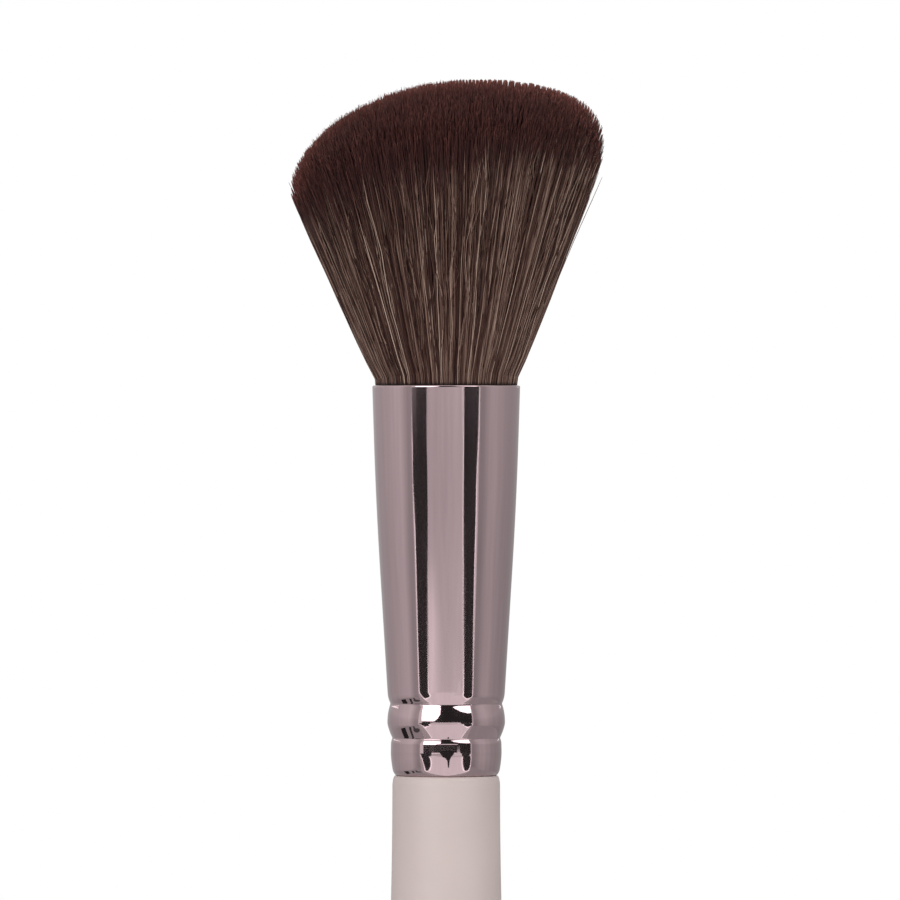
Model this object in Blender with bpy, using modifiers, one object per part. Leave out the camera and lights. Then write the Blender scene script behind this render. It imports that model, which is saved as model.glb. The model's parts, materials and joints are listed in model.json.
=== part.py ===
"""Angled blush brush, standing on the flat end of its handle. Lengths are in metres.

The brush is turned about Z up to the mouth of its ferrule. Its hair fans out above
that, cut low at the toe (-X) and high at the heel (+X). The origin is the middle of
the handle's flat end.
"""

import math
import random

import bmesh
import bpy

# Handle, from the ferrule down to the flat end
HANDLE_LENGTH = 0.1040
SHOULDER_RADIUS = 0.00527
SHOULDER_ROUNDING = 0.0015
HANDLE_NECK_RADIUS = 0.00555
HANDLE_SWELL_RADIUS = 0.0062
HANDLE_SWELL_DEPTH = 0.0385  # below the rounded shoulder
HANDLE_END_RADIUS = 0.0044
HANDLE_END_ROUNDING = 0.0014
HANDLE_REST_RADIUS = 0.0032

# Tenon of the handle, inside the ferrule
TENON_RADIUS = 0.00535
TENON_CHAMFER = 0.0008

# Ferrule, from its mouth down to its lower edge. Its crimps are stacked on that edge.
FERRULE_LENGTH = 0.0400
FERRULE_WALL = 0.0003
MOUTH_RADIUS = 0.0076
BEND_RADIUS = 0.00724
BEND_DEPTH = 0.0119  # below the mouth
FOOT_RADIUS = 0.00604
FOOT_RISE = 0.00126  # above the upper groove
UPPER_GROOVE_RADIUS = 0.00574
BEAD_UPPER_RISE = 0.00174  # from the bead's crest to the upper groove
BEAD_RADIUS = 0.00604
BEAD_LOWER_RISE = 0.0020  # from the lower groove to the bead's crest
LOWER_GROOVE_RADIUS = 0.00557
BAND_UPPER_RISE = 0.0011  # from the band's crest to the lower groove
BAND_RADIUS = 0.0057
BAND_LOWER_RISE = 0.0026  # from the lower edge to the band's crest
EDGE_RADIUS = 0.00527

# Root of the hair, below the mouth, and what holds it
ROOT_DEPTH = 0.0165
PLUG_THICKNESS = 0.0044
PLUG_CHAMFER = 0.0004
THREAD_DIAMETER = 0.0005
THREAD_TURNS = 5
BINDING_RISE = 0.0060  # of its lowest turn above the bottom of the root

# Head of hair, above the mouth
HAIR_LENGTH = 0.0315
TOE_LENGTH = 0.0200
HEEL_LENGTH = 0.0245
SIDE_LENGTH = 0.0258
TOE_REACH = 0.0160
HEEL_REACH = 0.0162
SIDE_REACH = 0.0126
PEAK_SHARE = 0.22  # of the way from the middle of the root to its heel
STRANDS_ACROSS = 19  # an odd number, so that no gap runs straight through
STRAND_SPACING = 0.00012  # between strands where they leave the root
STRAND_POINT = 0.0018
UNEVEN_SHARE = 0.035  # of a strand's length
SCATTER_SHARE = 0.22  # of a strand's width, by which its corners are moved
HAIR_SEED = 7

# Clearance between pieces that touch on the real brush
FIT_GAP = 0.0003

# How round each stretch of an outline is: 2 gives a plain crown, more gives fuller shoulders
CROWN_POWER = 2
BAND_POWER = 3
TOE_POWER = 1.6
DOME_POWER = 2

# Steps of the turned and rounded shapes
TURN_STEPS = 40
BODY_STEPS = 8
ARC_STEPS = 4
CREST_STEPS = 3
LIP_STEPS = 4
MERGE_DISTANCE = 0.00001

# Places along the axis
BAND_CREST = BAND_LOWER_RISE
LOWER_GROOVE = BAND_CREST + BAND_UPPER_RISE
BEAD_CREST = LOWER_GROOVE + BEAD_LOWER_RISE
UPPER_GROOVE = BEAD_CREST + BEAD_UPPER_RISE
FERRULE_FOOT = UPPER_GROOVE + FOOT_RISE
FERRULE_BEND = FERRULE_LENGTH - BEND_DEPTH
ROOT_BOTTOM = FERRULE_LENGTH - ROOT_DEPTH
PLUG_TOP = ROOT_BOTTOM - FIT_GAP
PLUG_BOTTOM = PLUG_TOP - PLUG_THICKNESS
TENON_TOP = PLUG_BOTTOM - FIT_GAP
BINDING_BOTTOM = ROOT_BOTTOM + BINDING_RISE
BINDING_TOP = BINDING_BOTTOM + THREAD_DIAMETER * THREAD_TURNS
MOUTH_HEIGHT = HANDLE_LENGTH + FERRULE_LENGTH


def clear_scene():
    """Removes every object that the scene starts with."""
    for found in list(bpy.data.objects):
        bpy.data.objects.remove(found)


def linear(shade):
    """The linear value of a shade from 0 to 255 of a screen colour."""
    share = shade / 255
    return share / 12.92 if share <= 0.04045 else ((share + 0.055) / 1.055) ** 2.4


def finish(name, colour, roughness, metallic=0.0):
    """A plain surface of one screen colour."""
    material = bpy.data.materials.new(name)
    material.use_nodes = True
    shader = material.node_tree.nodes["Principled BSDF"]
    shader.inputs["Base Color"].default_value = (*map(linear, colour), 1.0)
    shader.inputs["Roughness"].default_value = roughness
    shader.inputs["Metallic"].default_value = metallic
    return material


def quarter(start, end, steps):
    """Points of a quarter ellipse of (radius, height) that leaves start level and meets end upright."""
    (start_radius, start_height), (end_radius, end_height) = start, end
    points = []
    for step in range(steps + 1):
        turn = math.pi / 2 * step / steps
        radius = start_radius + (end_radius - start_radius) * math.sin(turn)
        height = end_height + (start_height - end_height) * math.cos(turn)
        points.append((radius, height))
    return points


def crown(crest, foot, power, steps):
    """Points of (radius, height) from a crest to the foot of its slope, fuller with a higher power."""
    (crest_radius, crest_height), (foot_radius, foot_height) = crest, foot
    points = []
    for step in range(steps + 1):
        share = step / steps
        radius = crest_radius + (foot_radius - crest_radius) * share**power
        points.append((radius, crest_height + (foot_height - crest_height) * share))
    return points


def crimped_side():
    """The ferrule's outer side below its cone: the foot, the upper groove, the bead and the band."""
    lower_groove = (LOWER_GROOVE_RADIUS, LOWER_GROOVE)
    upper_groove = (UPPER_GROOVE_RADIUS, UPPER_GROOVE)
    bead = (BEAD_RADIUS, BEAD_CREST)
    band = (BAND_RADIUS, BAND_CREST)
    points = crown((FOOT_RADIUS, FERRULE_FOOT), upper_groove, CROWN_POWER, CREST_STEPS)
    points += crown(bead, upper_groove, CROWN_POWER, CREST_STEPS)[-2::-1]
    points += crown(bead, lower_groove, CROWN_POWER, CREST_STEPS)[1:]
    points += crown(band, lower_groove, BAND_POWER, CREST_STEPS)[-2::-1]
    points += crown(band, (EDGE_RADIUS, 0), BAND_POWER, CREST_STEPS + 1)[1:]
    return points


def cone_radius(height):
    """The ferrule's outer radius at a height above its foot."""
    if height > FERRULE_BEND:
        low, high = (BEND_RADIUS, FERRULE_BEND), (MOUTH_RADIUS, FERRULE_LENGTH)
    else:
        low, high = (FOOT_RADIUS, FERRULE_FOOT), (BEND_RADIUS, FERRULE_BEND)
    share = (height - low[1]) / (high[1] - low[1])
    return low[0] + (high[0] - low[0]) * share


def bore_radius(height):
    """The radius that is left inside the ferrule for a piece that fits it, above its foot."""
    return cone_radius(height) - FERRULE_WALL - FIT_GAP


def turned(name, outline, surface, brush, height=0.0):
    """A body turned about Z from (radius, height) points that run down its outer side."""
    points = [(radius, 0, level) for radius, level in outline]
    edges = [(index, index + 1) for index in range(len(points) - 1)]
    if outline[0][0] > 0:
        edges.append((len(points) - 1, 0))
    mesh = bpy.data.meshes.new(name)
    mesh.from_pydata(points, edges, [])
    part = placed(name, mesh, surface, brush, height)
    screw = part.modifiers.new("Turn about the axis", "SCREW")
    screw.steps = TURN_STEPS
    screw.render_steps = TURN_STEPS
    screw.use_merge_vertices = True
    screw.merge_threshold = MERGE_DISTANCE
    screw.use_smooth_shade = True
    part.modifiers.new("Keep flat faces flat", "WEIGHTED_NORMAL")
    return part


def placed(name, mesh, surface, brush, height):
    """An object of the brush, dressed, at a height above the handle's flat end."""
    mesh.materials.append(surface)
    part = bpy.data.objects.new(name, mesh)
    brush.users_collection[0].objects.link(part)
    part.parent = brush
    part.location.z = height
    return part


def handle_body():
    """The handle's outer side from its shoulder, under the ferrule, to the middle of its flat end."""
    neck = HANDLE_LENGTH - FIT_GAP - SHOULDER_ROUNDING
    swell = neck - HANDLE_SWELL_DEPTH
    points = quarter((SHOULDER_RADIUS, HANDLE_LENGTH - FIT_GAP), (HANDLE_NECK_RADIUS, neck), ARC_STEPS)
    for step in range(1, BODY_STEPS + 1):
        share = step / BODY_STEPS
        ease = (1 - math.cos(math.pi * share)) / 2
        radius = HANDLE_NECK_RADIUS + (HANDLE_SWELL_RADIUS - HANDLE_NECK_RADIUS) * ease
        points.append((radius, neck + (swell - neck) * share))
    for step in range(1, BODY_STEPS + 1):
        share = step / BODY_STEPS
        ease = 1 - math.cos(math.pi / 2 * share)
        radius = HANDLE_SWELL_RADIUS + (HANDLE_END_RADIUS - HANDLE_SWELL_RADIUS) * ease
        points.append((radius, swell + (HANDLE_END_ROUNDING - swell) * share))
    rounding = quarter((HANDLE_REST_RADIUS, 0), (HANDLE_END_RADIUS, HANDLE_END_ROUNDING), ARC_STEPS)
    points += rounding[-2::-1]
    points.append((0, 0))
    return points


def tenon_side():
    """The tenon's outer side from its chamfered end down to the handle's shoulder, pressed in at the crimps."""
    inset = FERRULE_WALL + FIT_GAP
    end_radius = min(TENON_RADIUS, bore_radius(TENON_TOP - TENON_CHAMFER))
    points = [(0, TENON_TOP), (end_radius - TENON_CHAMFER, TENON_TOP)]
    points.append((end_radius, TENON_TOP - TENON_CHAMFER))
    points += [(min(TENON_RADIUS, radius - inset), height) for radius, height in crimped_side()]
    points.append((points[-1][0], -FIT_GAP))
    return points


def make_handle(brush, surface):
    """The turned wooden handle with its tenon."""
    tenon = [(radius, height + HANDLE_LENGTH) for radius, height in tenon_side()]
    return turned("handle", tenon + handle_body(), surface, brush)


def make_ferrule(brush, surface):
    """The drawn tube that joins the hair to the handle, with a rounded lip at its mouth."""
    lip = FERRULE_WALL / 2
    outline = []
    for step in range(LIP_STEPS + 1):
        turn = math.pi * (1 - step / LIP_STEPS)
        radius = MOUTH_RADIUS - lip + lip * math.cos(turn)
        outline.append((radius, FERRULE_LENGTH - lip + lip * math.sin(turn)))
    outline.append((BEND_RADIUS, FERRULE_BEND))
    outline += crimped_side()
    outline += [(radius - FERRULE_WALL, height) for radius, height in reversed(crimped_side())]
    outline.append((BEND_RADIUS - FERRULE_WALL, FERRULE_BEND))
    return turned("ferrule", outline, surface, brush, HANDLE_LENGTH)


def make_resin_plug(brush, surface):
    """The cast plug between the tenon and the root of the hair."""
    outline = [
        (0, PLUG_TOP),
        (bore_radius(PLUG_TOP) - PLUG_CHAMFER, PLUG_TOP),
        (bore_radius(PLUG_TOP - PLUG_CHAMFER), PLUG_TOP - PLUG_CHAMFER),
        (bore_radius(PLUG_BOTTOM + PLUG_CHAMFER), PLUG_BOTTOM + PLUG_CHAMFER),
        (bore_radius(PLUG_BOTTOM) - PLUG_CHAMFER, PLUG_BOTTOM),
        (0, PLUG_BOTTOM),
    ]
    return turned("resin_plug", outline, surface, brush, HANDLE_LENGTH)


def binding_radius():
    """The outer radius of the binding, which clears the ferrule at both of its ends."""
    return min(bore_radius(BINDING_BOTTOM), bore_radius(BINDING_TOP))


def make_root_binding(brush, surface):
    """The turns of thread round the waist of the root, as one ring with a rib for each turn."""
    half = THREAD_DIAMETER / 2
    middle = binding_radius() - half
    outline = []
    for turn in reversed(range(THREAD_TURNS)):
        height = BINDING_BOTTOM + THREAD_DIAMETER * turn + half
        for angle in (math.pi / 3, 0, -math.pi / 3):
            outline.append((middle + half * math.cos(angle), height + half * math.sin(angle)))
    outline.append((middle - half, outline[-1][1]))
    outline.append((middle - half, outline[0][1]))
    return turned("root_binding", outline, surface, brush, HANDLE_LENGTH)


def root_side():
    """The root's outer side below the mouth, as (radius, height), with its waist for the binding."""
    waist = binding_radius() - THREAD_DIAMETER - FIT_GAP
    waist_top, waist_bottom = BINDING_TOP + FIT_GAP, BINDING_BOTTOM - FIT_GAP
    points = [(bore_radius(waist_top), waist_top), (waist, waist_top)]
    points += [(waist, waist_bottom), (bore_radius(waist_bottom), waist_bottom)]
    if waist_top < FERRULE_BEND < FERRULE_LENGTH:
        points.insert(0, (bore_radius(FERRULE_BEND), FERRULE_BEND))
    if ROOT_BOTTOM < FERRULE_BEND < waist_bottom:
        points.append((bore_radius(FERRULE_BEND), FERRULE_BEND))
    points.append((bore_radius(ROOT_BOTTOM), ROOT_BOTTOM))
    return [(radius, height - FERRULE_LENGTH) for radius, height in points]


def disc_place(across, along):
    """Where a place in a square of half width 1 lies in a disc of radius 1, with areas kept alike."""
    if across == 0 and along == 0:
        return 0.0, 0.0
    if abs(across) > abs(along):
        reach, turn = across, math.pi / 4 * along / across
    else:
        reach, turn = along, math.pi / 4 * (2 - across / along)
    return reach * math.cos(turn), reach * math.sin(turn)


def hair_place(across, along, height):
    """Where the hair rooted at this place of the unit disc is at a height above the mouth."""
    root = bore_radius(FERRULE_LENGTH)
    toe_lean = (TOE_REACH - root) / TOE_LENGTH
    heel_lean = (HEEL_REACH - root) / HEEL_LENGTH
    side_lean = (SIDE_REACH - root) / SIDE_LENGTH
    lean = (heel_lean - toe_lean) / 2 + (heel_lean + toe_lean) / 2 * across
    return root * across + height * lean, (root + height * side_lean) * along, height


def cut_length(across, along):
    """How far above the mouth the hair rooted at this place of the unit disc is cut."""
    run, rise = across - PEAK_SHARE, along
    reach = math.hypot(run, rise)
    if reach == 0:
        return HAIR_LENGTH
    forward, sideways = run / reach, rise / reach
    rim = math.sqrt(1 - (PEAK_SHARE * sideways) ** 2) - PEAK_SHARE * forward
    share = min(reach / rim, 1)
    end_length = TOE_LENGTH if forward < 0 else HEEL_LENGTH
    rim_length = SIDE_LENGTH + (end_length - SIDE_LENGTH) * forward**2
    power = DOME_POWER + (TOE_POWER - DOME_POWER) * min(forward, 0) ** 2
    return rim_length + (HAIR_LENGTH - rim_length) * (1 - share**power) ** (1 / power)


def grow_strand(hair, top, dice):
    """Draws the top of one strand, still on the unit disc, up the fan to its blunt point."""
    across, along, _ = top.calc_center_median()
    length = cut_length(across, along) * (1 - UNEVEN_SHARE * dice.random())
    for corner in top.verts:
        corner.co = hair_place(corner.co.x, corner.co.y, length - STRAND_POINT)
    point = bmesh.ops.poke(hair, faces=[top])["verts"][0]
    point.co = hair_place(across, along, length)


def make_bristle_tuft(brush, surface):
    """The head of hair as four-sided strands that stand on their packed root."""
    dice = random.Random(HAIR_SEED)
    hair = bmesh.new()
    bmesh.ops.create_grid(hair, x_segments=STRANDS_ACROSS, y_segments=STRANDS_ACROSS, size=1)
    scatter = SCATTER_SHARE * 2 / STRANDS_ACROSS
    for corner in hair.verts:
        if not corner.is_boundary:
            corner.co.x += scatter * dice.uniform(-1, 1)
            corner.co.y += scatter * dice.uniform(-1, 1)
        corner.co.xy = disc_place(corner.co.x, corner.co.y)
    cells = list(hair.faces)
    spacing = STRAND_SPACING / 2 / bore_radius(FERRULE_LENGTH)
    bmesh.ops.inset_individual(hair, faces=cells, thickness=spacing, use_even_offset=True)
    tops = bmesh.ops.extrude_discrete_faces(hair, faces=cells)["faces"]
    rim = [edge for edge in hair.edges if edge.is_boundary]
    raised = {corner for top in tops for corner in top.verts}
    for corner in set(hair.verts) - raised:
        corner.co = hair_place(corner.co.x, corner.co.y, 0)
    for top in tops:
        grow_strand(hair, top, dice)
    extend_root(hair, rim)
    bmesh.ops.recalc_face_normals(hair, faces=hair.faces)
    mesh = bpy.data.meshes.new("bristle_tuft")
    hair.to_mesh(mesh)
    hair.free()
    return placed("bristle_tuft", mesh, surface, brush, MOUTH_HEIGHT)


def extend_root(hair, rim):
    """Draws the rim of the strands' backing down into the ferrule and closes it."""
    for radius, height in root_side():
        grown = bmesh.ops.extrude_edge_only(hair, edges=rim)["geom"]
        rim = [found for found in grown if isinstance(found, bmesh.types.BMEdge)]
        for corner in (found for found in grown if isinstance(found, bmesh.types.BMVert)):
            corner.co.xy *= radius / corner.co.xy.length
            corner.co.z = height
    bmesh.ops.contextual_create(hair, geom=rim)


def main():
    """Builds the brush under one empty at the middle of its flat end."""
    clear_scene()
    collection = bpy.data.collections.new("angled_blush_brush")
    bpy.context.scene.collection.children.link(collection)
    brush = bpy.data.objects.new("angled_blush_brush", None)
    collection.objects.link(brush)

    make_handle(brush, finish("Pale lacquered wood", (204, 189, 186), 0.45))
    make_ferrule(brush, finish("Rose aluminium", (200, 180, 181), 0.15, metallic=1.0))
    make_resin_plug(brush, finish("Cured resin", (190, 160, 110), 0.35))
    make_root_binding(brush, finish("Binding thread", (215, 205, 190), 0.9))
    make_bristle_tuft(brush, finish("Brown fibre", (68, 50, 45), 0.6))


main()
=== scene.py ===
"""Looks of an angled blush brush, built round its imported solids. Lengths are in metres.

The brush stands on the flat end of its handle and is turned about Z up to the mouth of
its ferrule. Its hair fans out above that, cut low at the toe (-X) and high at the heel
(+X). The camera looks along +Y at the upper half, level with the hair's root.
"""

import json
import logging
import math
from dataclasses import dataclass, field
from enum import Enum

import bpy
import numpy as np
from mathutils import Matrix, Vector

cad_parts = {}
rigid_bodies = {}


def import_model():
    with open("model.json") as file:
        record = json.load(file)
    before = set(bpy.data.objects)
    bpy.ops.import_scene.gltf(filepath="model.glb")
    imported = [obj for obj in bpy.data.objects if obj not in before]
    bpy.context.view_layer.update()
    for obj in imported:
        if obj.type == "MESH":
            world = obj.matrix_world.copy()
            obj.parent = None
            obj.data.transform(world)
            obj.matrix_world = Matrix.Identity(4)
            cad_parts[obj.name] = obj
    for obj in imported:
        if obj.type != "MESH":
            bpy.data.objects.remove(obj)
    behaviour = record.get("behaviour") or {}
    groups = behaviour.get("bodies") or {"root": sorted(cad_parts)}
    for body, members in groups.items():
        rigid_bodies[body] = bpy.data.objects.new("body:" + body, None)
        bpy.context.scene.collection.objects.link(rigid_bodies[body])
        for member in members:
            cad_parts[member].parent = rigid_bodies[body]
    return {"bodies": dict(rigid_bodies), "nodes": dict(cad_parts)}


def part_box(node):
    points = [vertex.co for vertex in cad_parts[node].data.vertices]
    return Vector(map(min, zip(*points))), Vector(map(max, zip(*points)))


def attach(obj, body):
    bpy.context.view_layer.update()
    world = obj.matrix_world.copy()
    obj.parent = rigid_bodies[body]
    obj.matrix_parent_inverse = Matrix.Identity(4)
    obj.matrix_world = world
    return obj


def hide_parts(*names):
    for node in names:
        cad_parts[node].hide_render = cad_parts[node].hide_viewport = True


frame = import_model()

log = logging.getLogger("brush")

MM = 0.001
WELD = 0.001 * MM  # corners nearer than this become one
SPECK = 1e-9  # least share of the root's radius that a direction is divided by
HAIR_MAP = "OFBake"  # the hair's own UV map: tone across, and upwards how near the tip
STRAND_WAVES = (60, 200)  # of single strands round the head, in radians to a root's radius
PATTERN_LAYERS = 14

Material = bpy.types.Material
Socket = bpy.types.NodeSocket
Piece = bpy.types.Object
Colour = tuple[float, float, float]  # from 0 to 255, as a screen shows it
Stops = tuple[tuple[float, Colour], ...]  # places from 0 to 1, each with its colour
Span = tuple[float, float]  # a low and a high value
Spot = tuple[float, float]  # two coordinates
Outline = list[Spot]  # radius and height of each point
Turns = list[Spot]  # degrees from the camera's side towards +X, each with a distance or a height


class Slot(Enum):
    """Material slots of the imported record."""

    HANDLE = "handle_lacquer"
    FERRULE = "ferrule_metal"
    RESIN = "resin"
    THREAD = "thread"
    HAIR = "hair"


class Axis(Enum):
    """Ways along which a card's shade can fade."""

    X = "X"
    Y = "Y"
    Z = "Z"
    TURN = "turn"  # round the brush, in degrees from the camera's side towards +X


Fade = tuple[Axis, tuple[Spot, ...]]  # places along an axis, each with its shade


def linear(shade: float) -> float:
    """The linear value of a shade from 0 to 255 of a screen colour."""
    share = shade / 255
    return share / 12.92 if share <= 0.04045 else ((share + 0.055) / 1.055) ** 2.4


def rgba(colour: Colour) -> tuple[float, float, float, float]:
    """A screen colour as the linear RGBA that a socket takes."""
    return (*map(linear, colour), 1.0)


@dataclass(frozen=True)
class Noise:
    """A noise pattern on Object coordinates."""

    scale: float  # features to a metre
    detail: float  # finer layers
    stretch: tuple[float, float, float] = (1, 1, 1)  # of its scale along each axis


class Graph:
    """A material's node tree with its Principled BSDF, and short calls to add to it."""

    def __init__(self, name: str) -> None:
        """Starts a material.

        Args:
            name: The material's name.
        """
        self.material = bpy.data.materials.new(name)
        self.material.use_nodes = True
        self.nodes = self.material.node_tree.nodes
        self.links = self.material.node_tree.links
        self.shader = self.nodes["Principled BSDF"]

    def set(self, **values: float | Colour | tuple) -> None:
        """Sets sockets of the shader.

        Args:
            **values: Their values, under their names in lower case with underscores.
        """
        sockets = {socket.name.lower().replace(" ", "_"): socket for socket in self.shader.inputs}
        for name, value in values.items():
            sockets[name].default_value = value

    def add(self, kind: str, inputs: dict[str, object] | None = None, **settings: object) -> bpy.types.Node:
        """Adds one node.

        Args:
            kind: The node's type.
            inputs: Values of its sockets, or sockets of other nodes that feed them.
            **settings: Properties of the node itself.

        Returns:
            The new node.
        """
        node = self.nodes.new(kind)
        for name, value in settings.items():
            setattr(node, name, value)
        for name, value in (inputs or {}).items():
            if isinstance(value, Socket):
                self.links.new(value, node.inputs[name])
            else:
                node.inputs[name].default_value = value
        return node

    def feed(self, socket: str, source: Socket) -> None:
        """Joins a node's output to a socket of the shader."""
        self.links.new(source, self.shader.inputs[socket])

    def place(self) -> Socket:
        """Adds the Object coordinates."""
        return self.add("ShaderNodeTexCoord").outputs["Object"]

    def axes(self, place: Socket) -> dict[str, Socket]:
        """Splits a place into X, Y and Z."""
        return dict(self.add("ShaderNodeSeparateXYZ", {"Vector": place}).outputs.items())

    def turned(self, place: Socket, rotation: tuple[float, float, float]) -> Socket:
        """Turns a place by angles in radians."""
        return self.add("ShaderNodeMapping", {"Vector": place, "Rotation": rotation}).outputs["Vector"]

    def share(self, value: Socket, span: Span, kind: str = "LINEAR") -> Socket:
        """Adds how far a value has come over a span, from 0 to 1."""
        inputs = {"Value": value, "From Min": span[0], "From Max": span[1]}
        return self.add("ShaderNodeMapRange", inputs, interpolation_type=kind).outputs["Result"]

    def between(self, factor: Socket, span: Span) -> Socket:
        """Spreads a factor from 0 to 1 over a span."""
        inputs = {"Value": factor, "To Min": span[0], "To Max": span[1]}
        return self.add("ShaderNodeMapRange", inputs).outputs["Result"]

    def ramp(self, factor: Socket, stops: Stops) -> Socket:
        """Adds a colour ramp.

        Args:
            factor: What picks the colour.
            stops: Places from 0 to 1, each with its colour.

        Returns:
            The ramp's colour output.
        """
        node = self.add("ShaderNodeValToRGB", {"Fac": factor})
        elements = node.color_ramp.elements
        while len(elements) < len(stops):
            elements.new(1.0)
        for element, (place, colour) in zip(elements, stops, strict=True):
            element.position = place
            element.color = rgba(colour)
        return node.outputs["Color"]

    def mix(self, factor: Socket, first: object, second: object) -> Socket:
        """Mixes two colours.

        Args:
            factor: 0 for the first, 1 for the second.
            first: A colour, or the socket that gives it.
            second: Another.

        Returns:
            The mixed colour's output.
        """
        node = self.add("ShaderNodeMix", {"Factor": factor}, data_type="RGBA")
        colours = {socket.name: socket for socket in node.inputs if socket.type == "RGBA"}
        for name, value in (("A", first), ("B", second)):
            if isinstance(value, Socket):
                self.links.new(value, colours[name])
            else:
                colours[name].default_value = value
        return next(socket for socket in node.outputs if socket.type == "RGBA")

    def noise(self, pattern: Noise) -> Socket:
        """Adds a noise pattern.

        Args:
            pattern: Its features.

        Returns:
            The pattern's factor output.
        """
        mapping = {"Vector": self.place(), "Scale": pattern.stretch}
        mapped = self.add("ShaderNodeMapping", mapping).outputs["Vector"]
        inputs = {"Vector": mapped, "Scale": pattern.scale, "Detail": pattern.detail}
        return self.add("ShaderNodeTexNoise", inputs).outputs["Fac"]

    def tint(self, pattern: Socket, dark: Colour, light: Colour, span: Span = (0.3, 0.7)) -> None:
        """Colours the surface from dark to light over a span of a pattern."""
        self.feed("Base Color", self.ramp(pattern, ((span[0], dark), (span[1], light))))

    def bump(self, height: Socket, relief: Span) -> None:
        """Raises the surface by a pattern, by a relief of (strength, distance)."""
        inputs = {"Height": height, "Strength": relief[0], "Distance": relief[1]}
        self.feed("Normal", self.add("ShaderNodeBump", inputs).outputs["Normal"])


@dataclass(frozen=True)
class HandleLacquer:
    """Soft satin lacquer, sprayed on the wood in a pale rose beige."""

    light: Colour = (208, 192, 188)
    dark: Colour = (202, 186, 182)
    clouds: Noise = Noise(90, 3)
    spray: Noise = Noise(2600, 2)
    roughness: Span = (0.46, 0.56)
    relief: Span = (0.25, 0.01 * MM)

    def make(self) -> Material:
        """Lays faint clouds of tone over a fine spray texture.

        Returns:
            The lacquer.
        """
        graph = Graph("Rose beige lacquer")
        graph.tint(graph.noise(self.clouds), self.dark, self.light)
        spray = graph.noise(self.spray)
        graph.feed("Roughness", graph.between(spray, self.roughness))
        graph.bump(spray, self.relief)
        return graph.material


@dataclass(frozen=True)
class RoseMetal:
    """Drawn and polished aluminium, anodised in a greyed rose."""

    light: Colour = (191, 168, 172)
    dark: Colour = (186, 163, 167)
    marks: Noise = Noise(2400, 3, (1, 1, 0.02))
    ripple: Noise = Noise(420, 1, (1, 1, 0.4))
    roughness: Span = (0.045, 0.075)
    relief: Span = (0.05, 0.02 * MM)

    def make(self) -> Material:
        """Gives a mirror faint marks along the drawn tube.

        Returns:
            The metal.
        """
        graph = Graph("Rose aluminium")
        marks = graph.noise(self.marks)
        graph.tint(marks, self.dark, self.light)
        graph.feed("Roughness", graph.between(marks, self.roughness))
        graph.bump(graph.noise(self.ripple), self.relief)
        graph.set(metallic=1.0)
        return graph.material


@dataclass(frozen=True)
class HairFibre:
    """Tapered fibres, taupe to brown at the root and dark reddish brown at the tip."""

    root_tones: Stops = (
        (0.0, (35, 16, 11)),
        (0.3, (58, 30, 25)),
        (0.5, (80, 51, 43)),
        (0.66, (122, 93, 81)),
        (0.8, (151, 122, 108)),
        (1.0, (199, 172, 156)),
    )
    tip_tones: Stops = ((0.0, (50, 24, 22)), (0.6, (66, 34, 31)), (1.0, (96, 55, 49)))
    # painted glow: paler, redder very ends, as if light came through the thin tips
    end_glow_tones: Stops = ((0.0, (78, 30, 26)), (0.5, (112, 58, 50)), (1.0, (172, 108, 96)))
    fade: Span = (0.25, 0.56)  # of the map's height, from the root's tones to the tip's
    end_glow_fade: Span = (0.7, 0.93)  # from the tip's tones to the painted glow of the very end
    roughness: float = 0.42
    gloss: float = 0.22
    painted_shadow_rise: float = 0.35 * MM  # above the mouth, over which the painted shadow of its rim fades out
    # painted shadow: the fibres' colour right at the mouth, where its rim shades them
    shadow: Colour = (20, 11, 9)

    def make(self) -> Material:
        """Colours the fibre by its place on the hair's own map, with painted glow at the very ends and
        painted shadow just above the mouth.

        Returns:
            The fibre's surface.
        """
        graph = Graph("Brown hair fibre")
        chart = graph.axes(graph.add("ShaderNodeUVMap", uv_map=HAIR_MAP).outputs["UV"])
        fibre = graph.ramp(chart["X"], self.root_tones)
        for tones, span in ((self.tip_tones, self.fade), (self.end_glow_tones, self.end_glow_fade)):
            share = graph.share(chart["Y"], span, "SMOOTHSTEP")
            fibre = graph.mix(share, fibre, graph.ramp(chart["X"], tones))
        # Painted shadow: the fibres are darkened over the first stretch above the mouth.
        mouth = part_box("ferrule")[1].z
        clear = graph.share(graph.axes(graph.place())["Z"], (mouth, mouth + self.painted_shadow_rise))
        graph.feed("Base Color", graph.mix(clear, rgba(self.shadow), fibre))
        graph.set(roughness=self.roughness, specular_ior_level=self.gloss)
        return graph.material


@dataclass(frozen=True)
class HairMass:
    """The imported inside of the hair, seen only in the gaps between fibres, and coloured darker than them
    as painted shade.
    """

    # painted shade: darker than the fibres' own tones, for the shade deep between them
    light: Colour = (58, 40, 34)
    dark: Colour = (34, 22, 20)
    streaks: Noise = Noise(3200, 2, (1, 1, 0.05))
    roughness: float = 0.7
    relief: Span = (0.4, 0.05 * MM)

    def make(self) -> Material:
        """Streaks the mass along the fibres.

        Returns:
            The mass's surface.
        """
        graph = Graph("Packed hair")
        streaks = graph.noise(self.streaks)
        graph.tint(streaks, self.dark, self.light, (0.35, 0.65))
        graph.bump(streaks, self.relief)
        graph.set(roughness=self.roughness)
        return graph.material


@dataclass(frozen=True)
class CastResin:
    """Amber adhesive, cloudy with fine bubbles."""

    light: Colour = (201, 168, 112)
    dark: Colour = (170, 132, 82)
    clouds: Noise = Noise(420, 4)
    bubbles: Noise = Noise(1500, 2)
    roughness: float = 0.3
    relief: Span = (0.2, 0.03 * MM)

    def make(self) -> Material:
        """Clouds the resin and fills it with fine bubbles.

        Returns:
            The resin.
        """
        graph = Graph("Cast resin")
        graph.tint(graph.noise(self.clouds), self.dark, self.light)
        graph.bump(graph.noise(self.bubbles), self.relief)
        graph.set(roughness=self.roughness)
        return graph.material


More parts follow.
